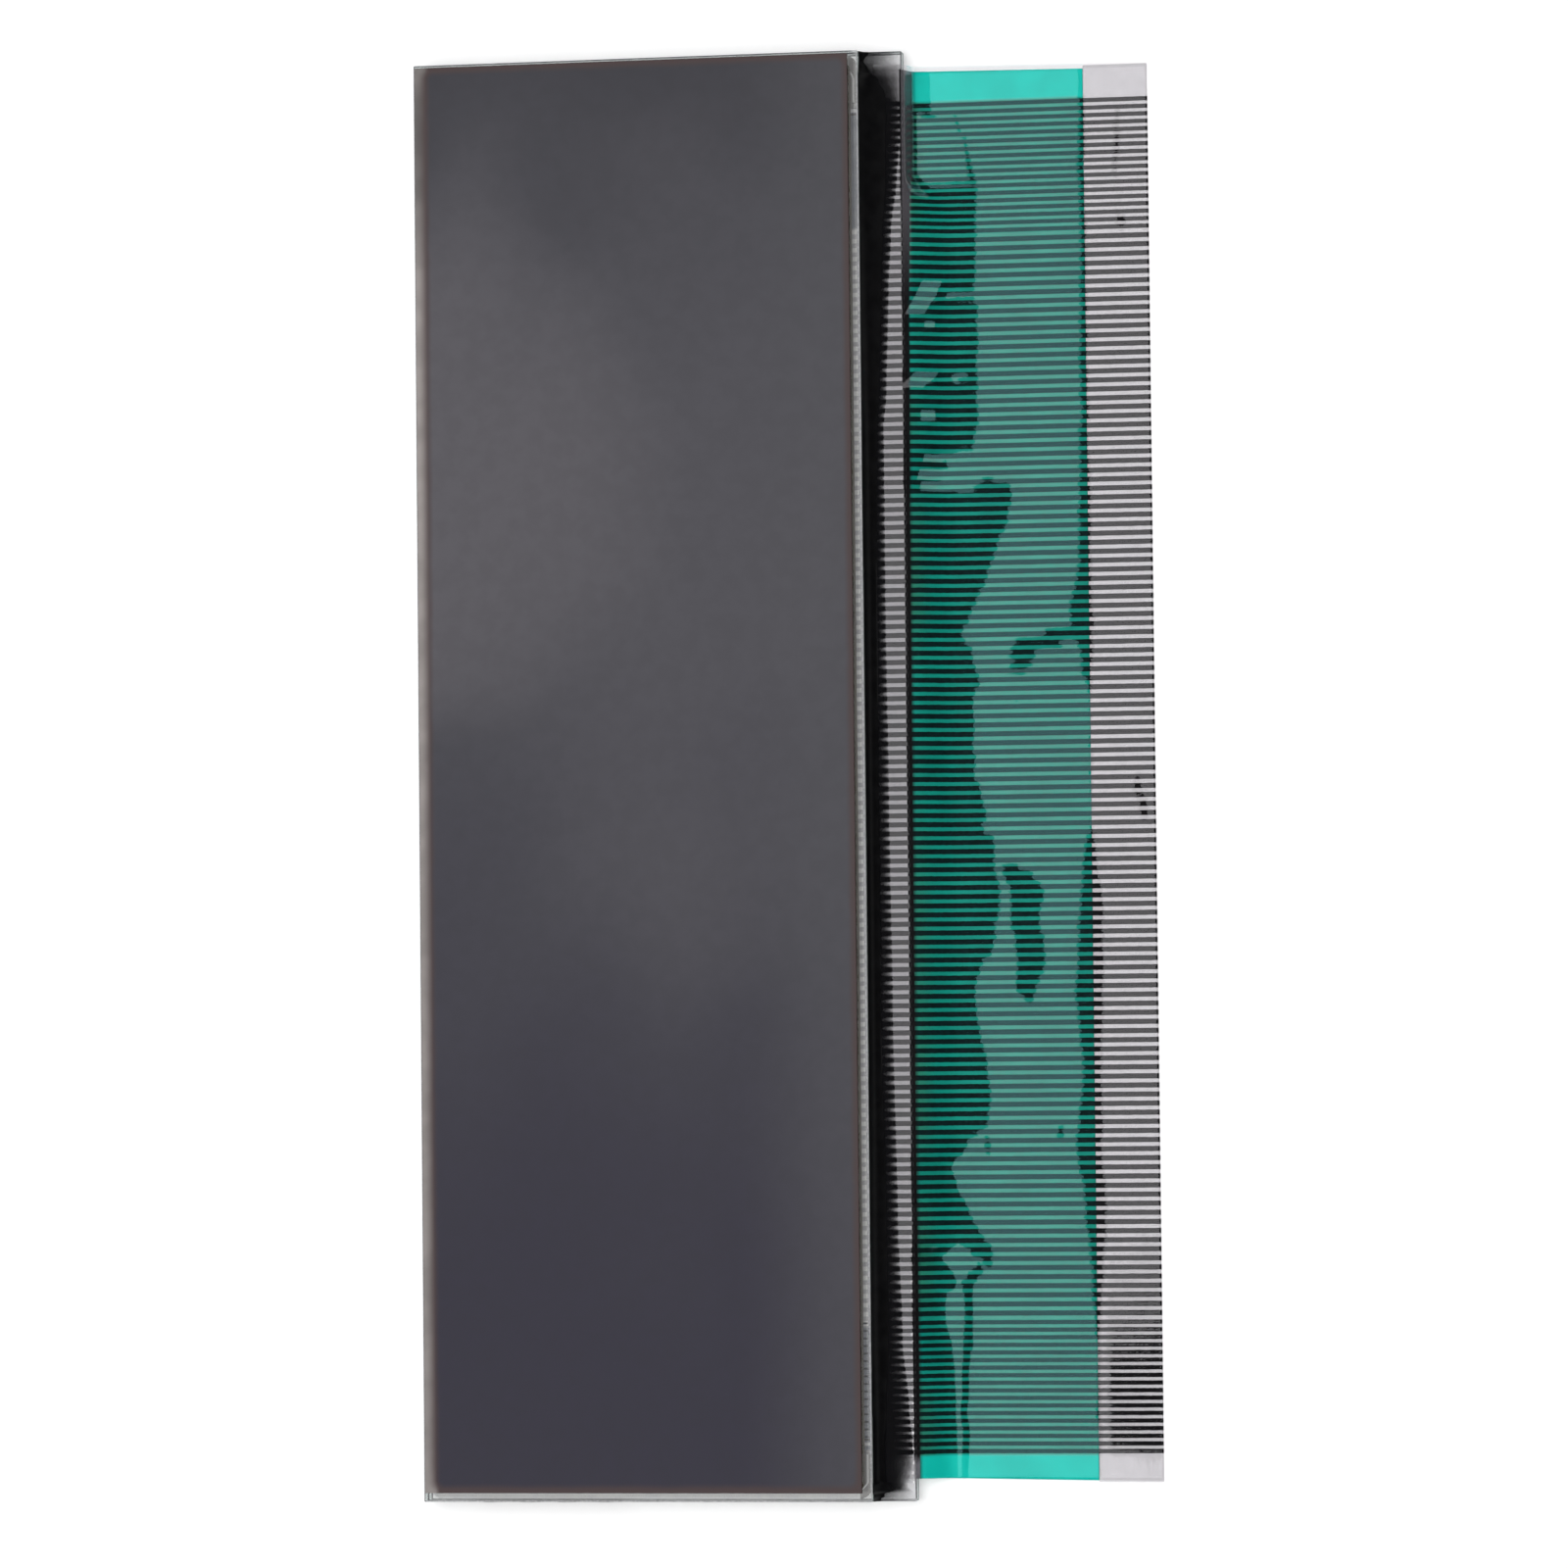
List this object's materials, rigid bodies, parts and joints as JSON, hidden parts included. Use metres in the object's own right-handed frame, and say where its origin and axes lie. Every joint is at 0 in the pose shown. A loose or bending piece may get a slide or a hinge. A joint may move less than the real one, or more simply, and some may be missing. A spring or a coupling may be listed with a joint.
{
  "type": "bare glass lcd cell with heat-seal ribbon",
  "caption": "Bare glass liquid-crystal cell, dark when off, with a row of fine contacts on its ledge bonded to a short green and black flat ribbon.",
  "frame": {"origin": "centre of the rear polarizer's outer face, which is the face the cell rests on", "axes": "+X from the plain long edge across the contact ledge to the ribbon's free end, +Y along the cell's long side, +Z out of the viewing side"},
  "size_m": [0.0494, 0.0965, 0.0027],
  "materials": {
    "polarizer": "semi-gloss dark film",
    "clear_adhesive": "clear, soft",
    "glass": "polished faces, cut edges",
    "electrode": "thin clear oxide coat",
    "alignment_coat": "thin rubbed coat",
    "crystal": "thin liquid layer",
    "transfer_paste": "silver-filled paste",
    "cell_seal": "cured grey resin",
    "port_resin": "light-cured resin",
    "bond_adhesive": "heat-sealed film adhesive",
    "carbon_ink": "satin carbon ink",
    "clear_film": "glossy clear polyester",
    "green_coat": "green insulating ink",
    "black_sealant": "glossy black silicone"
  },
  "bodies": {
    "root": {"rear_polarizer": "polarizer", "rear_polarizer_adhesive": "clear_adhesive", "rear_glass": "glass", "segment_electrodes": "electrode", "contact_leads": "electrode", "rear_alignment_layer": "alignment_coat", "liquid_crystal": "crystal", "front_alignment_layer": "alignment_coat", "common_electrode": "electrode", "transfer_dots": "transfer_paste", "perimeter_seal": "cell_seal", "fill_port_plug": "port_resin", "front_glass": "glass", "front_polarizer_adhesive": "clear_adhesive", "front_polarizer": "polarizer", "ledge_bond_adhesive": "bond_adhesive", "ribbon_traces": "carbon_ink", "ribbon_film": "clear_film", "ribbon_cover_coat": "green_coat", "board_end_adhesive": "bond_adhesive", "ledge_sealant": "black_sealant"}
  },
  "joints": []
}
